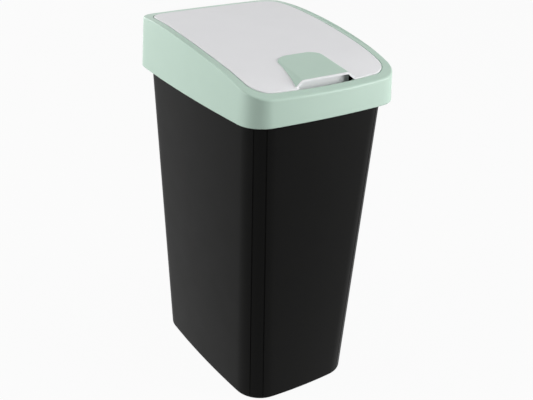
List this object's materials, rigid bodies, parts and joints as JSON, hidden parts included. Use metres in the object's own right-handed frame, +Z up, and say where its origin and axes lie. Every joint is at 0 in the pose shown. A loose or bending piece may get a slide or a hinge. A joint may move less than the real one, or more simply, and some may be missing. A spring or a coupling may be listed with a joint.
{
  "type": "flip-lid trash can",
  "caption": "Tall rectangular kitchen bin: tapered dark bucket, arched lift-off lid frame, hinged flap with a raised finger grip at the front.",
  "frame": {"origin": "on the floor, under the middle of the lid frame's outline", "axes": "+Z up, -Y towards the front with the finger grip, +X across to the right seen from the front"},
  "size_m": [0.2436, 0.33, 0.5147],
  "materials": {
    "bucket_plastic": "fine-grained satin polypropylene, anthracite",
    "frame_plastic": "satin polypropylene, pale mint",
    "flap_plastic": "satin polypropylene, white",
    "cover_plastic": "satin polypropylene, pale mint"
  },
  "bodies": {
    "bucket": {"bucket": "bucket_plastic"},
    "lid_frame": {"lid_frame": "frame_plastic"},
    "flap": {"flap": "flap_plastic", "grip_cover": "cover_plastic"}
  },
  "joints": [
    {"name": "lid_lift", "type": "slide", "parent": "bucket", "child": "lid_frame", "axis": [0, 0, 1], "range_m": [0, 0.12]},
    {"name": "flap_hinge", "type": "hinge", "parent": "lid_frame", "child": "flap", "pos_m": [0, 0.1075, 0.5052], "axis": [-1, 0, 0], "range_deg": [0, 100]}
  ]
}
